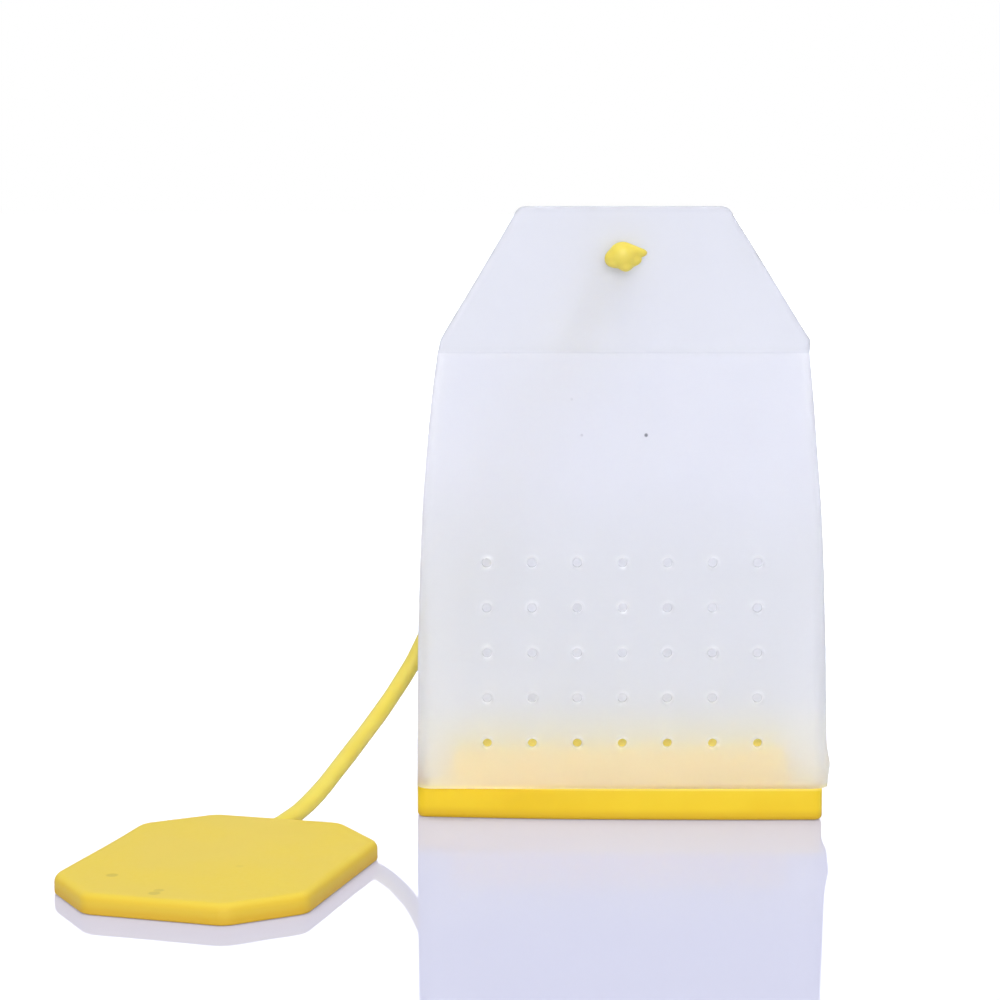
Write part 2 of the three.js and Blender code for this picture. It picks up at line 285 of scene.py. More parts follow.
# Points along the front of each level: in step with the holes below, and gathered evenly where the flap
# narrows.
def pouchColumns(height, halfX, radius, latticeTop):
    p = pouch
    cell = p["holePitch"] / p["cellSteps"]
    count = p["holeColumns"] * p["cellSteps"]
    field = cell * (np.arange(count + 1) - count / 2)
    reach = halfX - radius
    edge = reach.copy()
    above = height > latticeTop
    outside = np.arange(height.argmin() + 1, len(height))
    edge[above] = np.interp(latticeTop, height[outside], reach[outside])
    share = np.linspace(0, 1, p["edgeSteps"], endpoint=False)
    left = -edge[:, None] + (edge[:, None] - field[-1]) * share[None, :]
    columns = np.hstack([left, field[None, :] + 0 * edge[:, None], -left[:, ::-1]])
    return columns * (reach / edge)[:, None]


# Point numbers round a block of cells on the front, anticlockwise from its lower left.
def blockLoop(rowLevels, firstColumn, steps, around):
    columns = firstColumn + np.arange(steps + 1)
    bottom = rowLevels[0] * around + columns[:-1]
    right = rowLevels[:-1] * around + columns[-1]
    top = rowLevels[-1] * around + columns[:0:-1]
    left = rowLevels[:0:-1] * around + columns[0]
    return np.concatenate([bottom, right, top, left])


# The same points on the back: each number's column counts the other way round.
def behind(numbers, around):
    column = numbers % around
    return numbers - column + (around - column) % around


# Lines a hole: rings run from the cells' edge on one face, round a soft edge, through the wall and out to
# the other. Each ring is a circle of its own radius at its own depth under the face, and the first and the
# last meet the square edges of the cells point by point.
def holeLining(points, outLoop, inLoop, centreX, centreZ, profile, side):
    edge = points[outLoop]
    angle = np.arctan2(edge[:, 2] - centreZ, edge[:, 0] - centreX)
    radial = profile[:, 0][:, None]
    depth = profile[:, 1][:, None]
    x = centreX + radial * np.cos(angle)[None, :]
    z = centreZ + radial * np.sin(angle)[None, :]
    y = -side * (pouchHalfDepth(z) - depth)
    rings = np.stack([x, y, z], axis=-1).reshape(-1, 3)
    around = len(outLoop)
    base = len(points)
    numbers = np.vstack([outLoop, base + np.arange(len(rings)).reshape(-1, around), inLoop])
    following = np.roll(numbers, -1, axis=1)
    faces = np.stack([numbers[:-1], following[:-1], following[1:], numbers[1:]], axis=-1).reshape(-1, 4)
    return rings, faces if side > 0 else faces[:, ::-1]


# Radius and depth of each ring through a sheet: near its first face, then near its second.
def holeProfile(radius, thickness, firstEdge, secondEdge):
    first, second = np.array(firstEdge), np.array(secondEdge)
    near = np.column_stack([radius + first[:, 0], first[:, 1]])
    far = np.column_stack([radius + second[:, 0], thickness - second[:, 1]])
    return np.vstack([near, far])


# Two shares at each point: the painted light there (a glow at the holes' linings, a painted highlight above
# the holes, painted light along the lower sides), and whether it is on the pocket's back wall, which is
# painted darker as painted shade.
def paintPouch(mesh):
    p = pouch
    points = np.empty(len(mesh.vertices) * 3)
    mesh.vertices.foreach_get("co", points)
    x, y, z = points.reshape(-1, 3).T / mm
    column = np.clip(np.round(x / p["holePitch"]), -(p["holeColumns"] // 2), p["holeColumns"] // 2)
    row = np.clip(np.round((z - p["lowestHole"]) / p["holePitch"]), 0, p["holeRows"] - 1)
    across = x - column * p["holePitch"]
    up = z - p["lowestHole"] - row * p["holePitch"] - np.where(y > 0, p["backHigher"], 0)
    away = np.hypot(across, up)
    radius, edge = p["hole"] / 2, p["holeRound"]
    sunk = pouchHalfDepth(z) - np.abs(y)
    inside = radius + p["liningFrom"] * edge - away
    lining = p["paintedLiningGlow"] * np.clip(inside / (p["liningFade"] * edge), 0, 1)
    beside = np.clip(1 - np.abs(away - radius - p["arcMiddle"] * edge) / edge, 0, 1)
    arc = p["paintedArcHighlight"] * beside * np.clip(up / away, 0, 1)
    fall = np.clip(1 - (pouchHalfWidth(z) - np.abs(x)) / p["sideGlowReach"], 0, 1)
    low = np.clip((p["sideGlowFrom"] - z) / (p["sideGlowFrom"] - p["sideGlowFull"]), 0, 1)
    # painted light: the strongest of the linings' painted glow, the arcs' painted highlight and the sides'
    # painted light
    glow = np.maximum(np.maximum(lining, arc * (sunk < p["onOuterFace"])), p["paintedSideGlow"] * fall * low)
    # painted shade: marks the pocket's back wall, which the material paints darker
    pocketBackShade = ((y > 0) & (sunk > p["wall"] * p["onInnerFace"]) & (z < p["roof"])).astype(float)
    for name, values in (("paintedEdgeGlow", glow), ("pocketBackShade", pocketBackShade)):
        share = mesh.attributes.new(name, "FLOAT", "POINT")
        share.data.foreach_set("value", values.astype(np.float32))


# The soft side edges stand off the even form by a few tenths, and the middle stays.
def standEdges(points):
    p = pouch
    x, z = points[:, 0], points[:, 2]
    left, right = (np.interp(z, p["edgeHeights"], p[edge]) for edge in ("leftEdge", "rightEdge"))
    moved = x + np.where(x < 0, left, right) * np.abs(x) / pouchHalfWidth(z)
    return np.column_stack([moved, points[:, 1:]])


def makePouch():
    p = pouch
    height, halfX, halfY, radius, lattice, cordZ, innerCount = pouchLevels()
    frontX = pouchColumns(height, halfX, radius, lattice[-1])
    rings = levelRings(height, halfX, halfY, radius, frontX, p["cornerSteps"], p["sideSteps"])
    levels, around = rings.shape[:2]
    points = rings.reshape(-1, 3)
    cells = gridCells(levels, around)
    keep = np.ones(cells.shape[:2], bool)

    def levelOf(z, inside):
        numbers = np.arange(levels)
        pool = numbers[:innerCount] if inside else numbers[innerCount + arcPoints:]
        return pool[np.abs(height[pool][None, :] - z[:, None]).argmin(axis=1)]

    outLevel, inLevel = levelOf(lattice, False), levelOf(lattice, True)
    steps = p["cellSteps"]
    firstField = p["cornerSteps"] + p["sideSteps"] + p["edgeSteps"]
    outerEdge = np.array(p["holeEdge"]) * [p["holeRound"], 1]
    profile = holeProfile(p["hole"] / 2, p["wall"], outerEdge, p["holeInnerEdge"])
    grown, faces = points, []
    for side in (1, -1):
        for row in range(p["holeRows"]):
            span = slice(row * steps, (row + 1) * steps + 1)
            rowOut, rowIn = outLevel[span], inLevel[span]
            for column in range(p["holeColumns"]):
                first = firstField + column * steps
                outLoop = blockLoop(rowOut, first, steps, around)
                inLoop = blockLoop(rowIn, first, steps, around)
                covered = np.arange(first, first + steps)
                if side < 0:
                    outLoop, inLoop = behind(outLoop, around), behind(inLoop, around)
                    covered = around - 1 - covered
                keep[np.ix_(rowOut[:-1], covered)] = False
                keep[np.ix_(rowIn[1:], covered)] = False
                x = (column - (p["holeColumns"] - 1) / 2) * p["holePitch"]
                z = p["lowestHole"] + row * p["holePitch"] + (side < 0) * p["backHigher"]
                rings, lining = holeLining(grown, outLoop, inLoop, x, z, profile, side)
                grown = np.vstack([grown, rings])
                faces.append(lining)
    # the cord's hole goes straight through the flap
    cordLevel = levelOf(cordZ, False)
    middle = around // 4
    first = middle - p["cordCell"] // 2
    outLoop = blockLoop(cordLevel, first, p["cordCell"], around)
    inLoop = behind(outLoop, around)
    covered = np.arange(first, first + p["cordCell"])
    keep[np.ix_(cordLevel[:-1], covered)] = False
    keep[np.ix_(cordLevel[:-1], around - 1 - covered)] = False
    middleRing = [(0, p["flapThickness"] / 2)]
    through = holeProfile(p["cordHole"] / 2, p["flapThickness"], p["cordHoleEdge"] + middleRing,
                          p["cordHoleEdge"][::-1])
    rings, lining = holeLining(grown, outLoop, inLoop, 0, p["cordHoleHeight"], through, 1)
    grown = np.vstack([grown, rings])
    faces.append(lining)
    walls = loftFaces(levels, around, np.vstack([cells[keep]] + faces))
    made = meshObject("pouch_shell", standEdges(grown), walls)
    paintPouch(made.data)
    return made


# Plug: one loft from its underside, round the bar, over its top and up the tongue.
plug = {
    "halfX": 22.25, "halfY": 5.0, "offCentre": -0.25, "height": 3.6, "corner": 1.0, "lowEdge": 0.55,
    "topEdge": 0.1, "tongueHeight": 5.0, "tongueEndInset": 3.4, "tongueSideInset": 1.4, "tongueEdge": 1.5,
    "tongueCorner": 1.4, "tongueTaper": 0.35, "tongueFrom": 0.1, "smallestCorner": 0.15,
    "waver": 0.03, "waverTurn": 0.31, "waverStart": 0.7,
    "frontBend": 0.0018, "bendFrom": 8.0, "cornerSteps": 8, "sideSteps": 2, "frontSteps": 60,
    "sideHeights": [1.2, 1.8, 2.4], "underInset": [2.5, 0.9], "shelfInset": [0.5, 1.1],
    "tongueRise": [0.25, 1.2, 2.2, 3.0], "crownInset": [2.2, 2.6],
}


def makePlug():
    p = plug
    quarter = np.linspace(0, pi / 2, arcPoints)
    low, top, edge = p["lowEdge"], p["topEdge"], p["tongueEdge"]
    lowZ, lowInset = low * (1 - np.cos(quarter)), low * (1 - np.sin(quarter))
    topZ, topInset = p["height"] - top + top * np.sin(quarter), top * (1 - np.cos(quarter))
    crown = p["height"] + p["tongueHeight"]
    crownZ, crownInset = crown - edge + edge * np.sin(quarter), edge * (1 - np.cos(quarter))
    # each level's height, and how far it lies inside the bar's outline or the tongue's
    height = np.concatenate([[0] * len(p["underInset"]), lowZ, p["sideHeights"], topZ,
                             [p["height"]] * len(p["shelfInset"]), p["height"] + np.array(p["tongueRise"]),
                             crownZ, [crown] * len(p["crownInset"])])
    inset = np.concatenate([p["underInset"], lowInset, [0] * len(p["sideHeights"]), topInset, p["shelfInset"],
                            [0] * len(p["tongueRise"]), crownInset, p["crownInset"]])
    tongue = height > p["height"] + p["tongueFrom"]
    taper = np.where(tongue, (height - p["height"]) / p["tongueHeight"] * p["tongueTaper"], 0)
    halfX = np.where(tongue, p["halfX"] - p["tongueEndInset"], p["halfX"]) - inset - taper
    halfY = np.where(tongue, p["halfY"] - p["tongueSideInset"], p["halfY"]) - inset - taper
    radius = np.maximum(np.where(tongue, p["tongueCorner"], p["corner"]) - inset, p["smallestCorner"])
    share = np.linspace(-1, 1, p["frontSteps"] + 1)
    frontX = (halfX - radius)[:, None] * share[None, :]
    rings = levelRings(height, halfX, halfY, radius, frontX, p["cornerSteps"], p["sideSteps"])
    rings[..., 0] += p["offCentre"]
    # the bar's front draws back towards its left end, and its long faces wander by a few hundredths
    x, y = rings[..., 0], rings[..., 1]
    drawn = p["frontBend"] * np.maximum(p["bendFrom"] - x, 0) ** 2
    onBar = ~tongue[:, None] & (y < 0)
    wander = p["waver"] * np.sin(x * p["waverTurn"] + p["waverStart"]) * ~tongue[:, None]
    rings[..., 1] = y - np.where(onBar, drawn * y / p["halfY"], 0) + wander
    levels, around = rings.shape[:2]
    return meshObject("plug_moulding", rings.reshape(-1, 3), loftFaces(levels, around))


# Tag: an oblong with cut corners and rounded edges, its top a little uneven.
tag = {
    "length": 33.2, "width": 26.7, "cut": 6.1, "cornerRadius": 2.2, "thickness": 2.1, "edge": 0.9,
    "lowEdge": 0.3, "centre": (-41.6, -27.4), "turned": 73.9, "perCorner": 12, "perSide": 18, "topRings": 34,
    "bottomSkip": 4,
    "waver": 0.035, "waverAlong": 0.35, "waverAcross": 0.23, "waverBend": 1.3,
}


# Outline of a polygon with rounded corners: an arc inside each corner, joined by straight runs.
def roundedPolygon(corners, radius, perCorner, perSide):
    before, after = np.roll(corners, 1, axis=0), np.roll(corners, -1, axis=0)
    back = (before - corners) / np.linalg.norm(before - corners, axis=1, keepdims=True)
    ahead = (after - corners) / np.linalg.norm(after - corners, axis=1, keepdims=True)
    halfAngle = np.arccos(np.clip((back * ahead).sum(axis=1), -1, 1)) / 2
    inward = (back + ahead) / np.linalg.norm(back + ahead, axis=1, keepdims=True)
    centre = corners + inward * (radius / np.sin(halfAngle))[:, None]
    start = np.arctan2(*(corners + back * (radius / np.tan(halfAngle))[:, None] - centre).T[::-1])
    turn = (pi - 2 * halfAngle)[:, None] * np.linspace(0, 1, perCorner + 1)[None, :]
    way = start[:, None] + turn
    arc = centre[:, None, :] + radius * np.stack([np.cos(way), np.sin(way)], -1)
    share = np.linspace(0, 1, perSide + 1)[1:-1][None, :, None]
    run = arc[:, -1:, :] * (1 - share) + np.roll(arc, -1, axis=0)[:, :1, :] * share
    return np.concatenate([arc, run], axis=1).reshape(-1, 2)


def makeTag():
    p = tag
    halfL, halfW, cut = p["length"] / 2, p["width"] / 2, p["cut"]
    corners = np.array([(halfL, -halfW + cut), (halfL, halfW - cut), (halfL - cut, halfW),
                        (-halfL + cut, halfW), (-halfL, halfW - cut), (-halfL, -halfW + cut),
                        (-halfL + cut, -halfW), (halfL - cut, -halfW)])
    outline = roundedPolygon(corners, p["cornerRadius"], p["perCorner"], p["perSide"])
    quarter = np.linspace(0, pi / 2, arcPoints)
    e, low = p["edge"], p["lowEdge"]
    inset = np.concatenate([low * (1 - np.sin(quarter)), e * (1 - np.cos(quarter))])
    height = np.concatenate([low * (1 - np.cos(quarter)), p["thickness"] - e + e * np.sin(quarter)])
    # the flat faces are rings that shrink towards the middle, fewer of them underneath
    shrink = np.linspace(1, 0, p["topRings"] + 1)[1:]
    outward = outline / np.linalg.norm(outline, axis=1, keepdims=True)
    band = outline[None] - outward[None] * inset[:, None, None]
    top = band[-1][None] * shrink[:, None, None]
    bottom = band[0][None] * shrink[::-p["bottomSkip"]][:, None, None]
    flat = np.concatenate([bottom, band, top])
    level = np.concatenate([np.zeros(len(bottom)), height, np.full(len(top), p["thickness"])])
    z = level[:, None] + 0 * flat[..., 0]
    bend = p["waverBend"] * np.sin(flat[..., 1] * p["waverAcross"])
    ripple = 0.5 + 0.5 * np.sin(flat[..., 0] * p["waverAlong"] + bend)
    z = z - p["waver"] * (z / p["thickness"]) * ripple
    turn = radians(p["turned"])
    x = p["centre"][0] + flat[..., 0] * np.cos(turn) - flat[..., 1] * np.sin(turn)
    y = p["centre"][1] + flat[..., 0] * np.sin(turn) + flat[..., 1] * np.cos(turn)
    points = np.stack([x, y, z], axis=-1)
    rings, around = points.shape[:2]
    cells = gridCells(rings, around).reshape(-1, 4)
    return meshObject("tag_plate", points.reshape(-1, 3), [list(dict.fromkeys(c)) for c in cells.tolist()])


# Barbed end: a lump seen from its middle, its radius in each direction a soft maximum of the distances to the
# far side of each small ellipsoid.
barb = {
    "centre": (0.0, -2.75, 61.5), "rings": 56, "around": 72, "sharpness": 10.0, "neckAround": 24,
    # each lump: place from the centre, half sizes
    "lumps": [
        ((-0.2, 0.05, 0.25), (1.5, 1.05, 1.4)), ((-0.1, 0.35, -0.3), (1.85, 0.8, 0.9)),
        ((1.55, 0.2, 0.45), (0.9, 0.6, 0.48)), ((0.8, 0.1, 0.65), (0.95, 0.8, 0.6)),
        ((-1.22, 0.15, -0.05), (0.85, 0.7, 0.75)), ((-1.05, 0.1, -0.6), (0.75, 0.65, 0.5)),
        ((0.15, 0.15, -0.9), (0.72, 0.75, 0.65)), ((0.95, 0.2, -0.15), (0.85, 0.6, 0.65)),
    ],
    # the neck's rings: place along it and share of its radius, with one of almost no size at each end
    "neckRadius": 0.97, "ringGap": 1e-4,
    "neck": [(-2.2, 1e-6), (-2.2, 1), (-1.0, 1), (0, 1), (1.0, 1), (1.8, 1), (1.95, 0.85), (1.95, 1e-6)],
}


def makeBarb():
    p = barb
    polar = np.linspace(0, pi, p["rings"])[:, None]
    turn = (2 * pi * np.arange(p["around"]) / p["around"])[None, :]
    way = np.stack([np.sin(polar) * np.cos(turn), np.sin(polar) * np.sin(turn), np.cos(polar) + 0 * turn], -1)
    total = 0
    for place, size in p["lumps"]:
        d, o, s = way, np.array(place), np.array(size)
        a = ((d / s) ** 2).sum(axis=-1)
        b = -2 * (d * o / s ** 2).sum(axis=-1)
        c = ((o / s) ** 2).sum() - 1
        root = b * b - 4 * a * c
        far = np.where(root > 0, (-b + np.sqrt(np.maximum(root, 0))) / (2 * a), 0)
        total = total + np.maximum(far, 0) ** p["sharpness"]
    reach = total ** (1 / p["sharpness"])
    points = np.array(p["centre"]) + way * reach[..., None]
    lump = gridCells(p["rings"], p["around"]).reshape(-1, 4)[:, ::-1]
    # neck: a short tube through the flap
    y, share = np.array(p["neck"]).T
    route = np.stack([0 * y, y, p["centre"][2] + 0 * y], axis=-1)
    # rings at the same place need a little way between them
    route[:, 1] += np.linspace(0, p["ringGap"], len(y))
    neck = tubePoints(route, p["neckRadius"] * share, p["neckAround"], np.array(cord["reference"]))
    offset = p["rings"] * p["around"]
    faces = [list(dict.fromkeys(c)) for c in lump.tolist()]
    faces += [[n + offset for n in face] for face in loftFaces(len(y), p["neckAround"])]
    return meshObject("barb_lump", np.vstack([points.reshape(-1, 3), neck]), faces)


# A node with its settings and inputs: a value is set, a socket is linked.
def put(tree, kind, inputs=None, **settings):
    made = tree.nodes.new("ShaderNode" + kind)
    for name, value in settings.items():
        setattr(made, name, value)
    for name, value in (inputs or {}).items():
        if isinstance(value, bpy.types.NodeSocket):
            tree.links.new(value, made.inputs[name])
        else:
            made.inputs[name].default_value = value
    return made


# The mix node's inputs 6 and 7 are its two colours, and its output 2 is the mixed one.
def mixColours(tree, share, first, second):
    mixed = put(tree, "Mix", {0: share, 6: first, 7: second}, data_type="RGBA")
    return mixed.outputs[2]


# Colour by height: each band runs from its first height, where the colour so far holds, to its second, where
# its own does.
def bandColours(tree, height, colour, bands):
    for (start, full), own in bands:
        share = put(tree, "MapRange", {"Value": height, "From Min": start * mm, "From Max": full * mm},
                    interpolation_type="SMOOTHSTEP")
        colour = mixColours(tree, share.outputs["Result"], colour, own)
    return colour


def newGroup(name, inputs, outputs):
    tree = bpy.data.node_groups.new(name, "ShaderNodeTree")
    for label, kind, value in inputs:
        socket = tree.interface.new_socket(label, in_out="INPUT", socket_type="NodeSocket" + kind)
        if value is not None:
            socket.default_value = value
    for label, kind in outputs:
        tree.interface.new_socket(label, in_out="OUTPUT", socket_type="NodeSocket" + kind)
    return tree, tree.nodes.new("NodeGroupInput"), tree.nodes.new("NodeGroupOutput")


# Moulded silicone's skin: cloudy patches of colour, a rubbed and a clean roughness, and a fine uneven face.
def siliconeSkin():
    tree, given, out = newGroup(
        "siliconeSkin",
        [("Place", "Vector", None), ("Cloud Scale", "Float", 90.0), ("Grain Scale", "Float", 2600.0),
         ("Rough Low", "Float", 0.4), ("Rough High", "Float", 0.55), ("Grain Share", "Float", 0.3)],
        [("Cloud", "Float"), ("Roughness", "Float"), ("Height", "Float")])
    place = given.outputs["Place"]
    cloud = put(tree, "TexNoise", {"Vector": place, "Scale": given.outputs["Cloud Scale"], "Detail": 3.0,
                                   "Roughness": 0.55})
    soft = put(tree, "MapRange", {"Value": cloud.outputs["Fac"], "From Min": 0.3, "From Max": 0.7},
               interpolation_type="SMOOTHSTEP")
    grain = put(tree, "TexNoise", {"Vector": place, "Scale": given.outputs["Grain Scale"], "Detail": 2.0,
                                   "Roughness": 0.6})
    rub = put(tree, "Math", {0: soft.outputs["Result"], 1: grain.outputs["Fac"]}, operation="MULTIPLY")
    rough = put(tree, "MapRange", {"Value": rub.outputs[0], "From Min": 0.1, "From Max": 0.6,
                                   "To Min": given.outputs["Rough Low"],
                                   "To Max": given.outputs["Rough High"]})
    small = put(tree, "Math", {0: grain.outputs["Fac"], 1: given.outputs["Grain Share"]},
                operation="MULTIPLY")
    height = put(tree, "Math", {0: small.outputs[0], 1: soft.outputs["Result"]}, operation="ADD")
    tree.links.new(soft.outputs["Result"], out.inputs["Cloud"])
    tree.links.new(rough.outputs["Result"], out.inputs["Roughness"])
    tree.links.new(height.outputs[0], out.inputs["Height"])
    return tree


# Small marks, such as specks of dust or dimples: each one's strength inside its small ball, 0 outside, the
# strongest counting.
def markMask(name, marks, softness):
    tree, given, out = newGroup(name, [("Place", "Vector", None)], [("Mask", "Float")])
    strongest = None
    for place, size, strength in marks:
        middle = [length * mm for length in place]
        away = put(tree, "VectorMath", {0: given.outputs["Place"], 1: middle}, operation="DISTANCE")
        inside = put(tree, "MapRange", {"Value": away.outputs["Value"], "From Max": size * mm,
                                        "From Min": size * mm * (1 - softness), "To Min": strength,
                                        "To Max": 0.0})
        mask = inside.outputs["Result"]
        if strongest is not None:
            mask = put(tree, "Math", {0: strongest, 1: mask}, operation="MAXIMUM").outputs[0]
        strongest = mask
    tree.links.new(strongest, out.inputs["Mask"])
    return tree


def startMaterial(name):
    material = bpy.data.materials.new(name)
    material.use_nodes = True
    tree = material.node_tree
    tree.nodes.clear()
    shader = put(tree, "BsdfPrincipled")
    put(tree, "OutputMaterial", {"Surface": shader.outputs["BSDF"]})
    place = put(tree, "TexCoord").outputs["Object"]
    return material, tree, shader, place


# The silicone's skin in a material, set by the material's own values.
def skinFace(tree, skin, place, p):
    face = put(tree, "Group", {"Place": place}, node_tree=skin)
    for label, value in (("Cloud Scale", "cloudScale"), ("Grain Scale", "grainScale"),
                         ("Rough Low", "roughLow"), ("Rough High", "roughHigh")):
        face.inputs[label].default_value = p[value]
    return face


milky = {
    "pale": (0.962, 0.967, 0.986, 1), "deep": (0.954, 0.96, 0.98, 1), "dust": (0.03, 0.03, 0.04, 1),
    # colours by height: the pouch is less blue towards the plug, with painted light from the yellow plug:
    # warmer just above its tongue and yellowish at its rim
    "bands": [((40.0, 26.0), (0.93, 0.936, 0.94, 1)), ((13.5, 9.5), (0.973, 0.973, 0.932, 1)),
              ((4.2, 3.7), (0.97, 0.94, 0.78, 1))],
    # the flap is one thick sheet, so less light gets through it, and its colour is darker, partly for that
    # and partly as painted shade against the front lamp; its upper edge, which faces the lamp, is painted
    # darker still
    "flapFrom": 51.25, "flapTransmission": 0.62,
    "flapShadeBands": [((49.0, 50.0), (0.843, 0.853, 0.88, 1)), ((66.1, 66.7), (0.79, 0.80, 0.83, 1))],
    # painted shade: the colour of the pocket's back wall, darker than the rest
    "pocketBackShade": (0.80, 0.805, 0.83, 1),
    # painted light: the colour of the glow painted where the shares mark the edges, and by height at the rim
    # and along the roof of the pocket
    "paintedEdgeGlow": (0.1, 0.1, 0.1, 1),
    "paintedGlowBands": [((4.1, 3.7), (0.1, 0.08, 0.015, 1)), ((49.3, 51.0), (0.012, 0.012, 0.012, 1)),
                  ((51.3, 51.6), (0, 0, 0, 1))],
    "transmission": 0.76, "roughLow": 0.95, "roughHigh": 1.0, "ior": 1.35, "cloudScale": 60.0,
    "grainScale": 1800.0, "bumpStrength": 0.12, "bumpDistance": 0.00006,
    "specks": [((2.5, -2.08, 42.2), 0.26, 0.9), ((-4.5, -2.08, 42.2), 0.2, 0.25),
               ((19.8, -1.2, 51.6), 0.16, 0.35), ((-5.6, -1.78, 46.1), 0.2, 0.15)],
    "speckSoftness": 0.5,
}


def milkyMaterial(name, skin, bands, transmission):
    p = milky
    material, tree, shader, place = startMaterial(name)
    face = skinFace(tree, skin, place, p)
    specks = markMask("dustSpecks", p["specks"], p["speckSoftness"])
    dust = put(tree, "Group", {"Place": place}, node_tree=specks)
    colour = mixColours(tree, face.outputs["Cloud"], p["deep"], p["pale"])
    height = put(tree, "SeparateXYZ", {"Vector": place}).outputs["Z"]
    colour = bandColours(tree, height, colour, bands)
    # painted shade: the pocket's back wall is painted darker
    pocketBackShade = put(tree, "Attribute", attribute_name="pocketBackShade").outputs["Fac"]
    colour = mixColours(tree, pocketBackShade, colour, p["pocketBackShade"])
    colour = mixColours(tree, dust.outputs["Mask"], colour, p["dust"])
    bump = put(tree, "Bump", {"Height": face.outputs["Height"], "Strength": p["bumpStrength"],
                              "Distance": p["bumpDistance"]})
    # painted light: the pouch glows at the holes' linings, above the holes, along its lower sides, at the rim
    # and under the pocket's roof, though no lamp is there
    edge = put(tree, "Attribute", attribute_name="paintedEdgeGlow").outputs["Fac"]
    glow = mixColours(tree, edge, (0, 0, 0, 1), p["paintedEdgeGlow"])
    glow = bandColours(tree, height, glow, p["paintedGlowBands"])
    tree.links.new(glow, shader.inputs["Emission Color"])
    shader.inputs["Emission Strength"].default_value = 1.0
    tree.links.new(colour, shader.inputs["Base Color"])
    tree.links.new(face.outputs["Roughness"], shader.inputs["Roughness"])
    tree.links.new(bump.outputs["Normal"], shader.inputs["Normal"])
    shader.inputs["Transmission Weight"].default_value = transmission
    shader.inputs["IOR"].default_value = p["ior"]
    return material


# The walls' material, and the flap's on the faces above the pocket: a copy that lets less light through and
# is painted darker, painted shade against the front lamp.
def coverPouch(mesh, skin):
    p = milky
    for name, bands, clearness in (("milky silicone", p["bands"], p["transmission"]),
                                   ("milky silicone flap", p["flapShadeBands"], p["flapTransmission"])):
        mesh.materials.append(milkyMaterial(name, skin, bands, clearness))
    middles = np.empty(len(mesh.polygons) * 3)
    mesh.polygons.foreach_get("center", middles)
    onFlap = middles.reshape(-1, 3)[:, 2] > p["flapFrom"] * mm
    mesh.polygons.foreach_set("material_index", onFlap.astype(np.int32))


# Bands: painted shade makes the yellow richer and darker close above the table, and along the tag's side
# under its top edge. The plug's bar has a painted highlight along its upper edge, and its tongue is paler at
# the top.
yellow = {
    "plug": {"pale": (0.85, 0.60, 0.013, 1), "deep": (0.82, 0.555, 0.007, 1), "roughLow": 0.38,
             "roughHigh": 0.5, "subsurface": 0.25, "cloudScale": 120.0, "grainScale": 2400.0,
             "specular": 0.45,
             "bands": [((1.5, 0.2), (0.70, 0.44, 0.007, 1)), ((3.28, 3.42), (0.93, 0.70, 0.09, 1)),
                       ((3.6, 3.75), (0.87, 0.60, 0.010, 1)), ((7.0, 7.8), (0.76, 0.60, 0.12, 1))]},
    "cord": {"pale": (0.79, 0.67, 0.11, 1), "deep": (0.76, 0.62, 0.075, 1), "roughLow": 0.42,
             "roughHigh": 0.55, "subsurface": 0.3, "cloudScale": 160.0, "grainScale": 3000.0, "specular": 0.8,
             "bands": [((1.2, 0.0), (0.78, 0.62, 0.06, 1))]},
    "tag": {"pale": (0.79, 0.60, 0.059, 1), "deep": (0.765, 0.575, 0.049, 1), "roughLow": 0.55,
            "roughHigh": 0.68, "subsurface": 0.2, "cloudScale": 70.0, "grainScale": 2600.0, "specular": 0.8,
            "bands": [((2.05, 1.5), (0.71, 0.485, 0.024, 1)), ((1.2, 0.3), (0.67, 0.41, 0.008, 1))],
            # dimples: place, size, strength; the material sinks them by bump and paints them darker, painted
            # shade in them
            "marks": [((-51.3, -34.8, 2.07), 0.7, 0.55), ((-46.3, -41.1, 2.07), 0.7, 0.6),
                      ((-46.0, -40.1, 2.07), 0.6, 0.45), ((-39.2, -31.5, 2.07), 0.5, 0.15)],
            "dimpleShadeColour": (0.52, 0.40, 0.03, 1), "markDepth": 3.0, "markSoftness": 0.35},
}
yellowSilicone = {"ior": 1.41, "scatterReach": 0.0008, "scatterShares": (1.0, 0.7, 0.2), "bumpStrength": 0.15,
                  "bumpDistance": 0.00006}


def yellowMaterial(name, skin, p):
    material, tree, shader, place = startMaterial(name)
    face = skinFace(tree, skin, place, p)
    colour = mixColours(tree, face.outputs["Cloud"], p["deep"], p["pale"])
    height = put(tree, "SeparateXYZ", {"Vector": place}).outputs["Z"]
    # painted shade and painted highlight by height, as the bands give them
    colour = bandColours(tree, height, colour, p["bands"])
    relief = face.outputs["Height"]
    if "marks" in p:
        mask = markMask("mouldMarks", p["marks"], p["markSoftness"])
        marks = put(tree, "Group", {"Place": place}, node_tree=mask)
        # painted shade: the dimples are darker
        colour = mixColours(tree, marks.outputs["Mask"], colour, p["dimpleShadeColour"])
        sunk = put(tree, "Math", {0: marks.outputs["Mask"], 1: -p["markDepth"]}, operation="MULTIPLY")
        relief = put(tree, "Math", {0: relief, 1: sunk.outputs[0]}, operation="ADD").outputs[0]
    common = yellowSilicone
    bump = put(tree, "Bump", {"Height": relief, "Strength": common["bumpStrength"],
                              "Distance": common["bumpDistance"]})
    tree.links.new(colour, shader.inputs["Base Color"])
    tree.links.new(face.outputs["Roughness"], shader.inputs["Roughness"])
    tree.links.new(bump.outputs["Normal"], shader.inputs["Normal"])
    shader.inputs["Subsurface Weight"].default_value = p["subsurface"]
    shader.inputs["Subsurface Radius"].default_value = common["scatterShares"]
    shader.inputs["Subsurface Scale"].default_value = common["scatterReach"]
    shader.inputs["Specular IOR Level"].default_value = p["specular"]
    shader.inputs["IOR"].default_value = common["ior"]
    return material


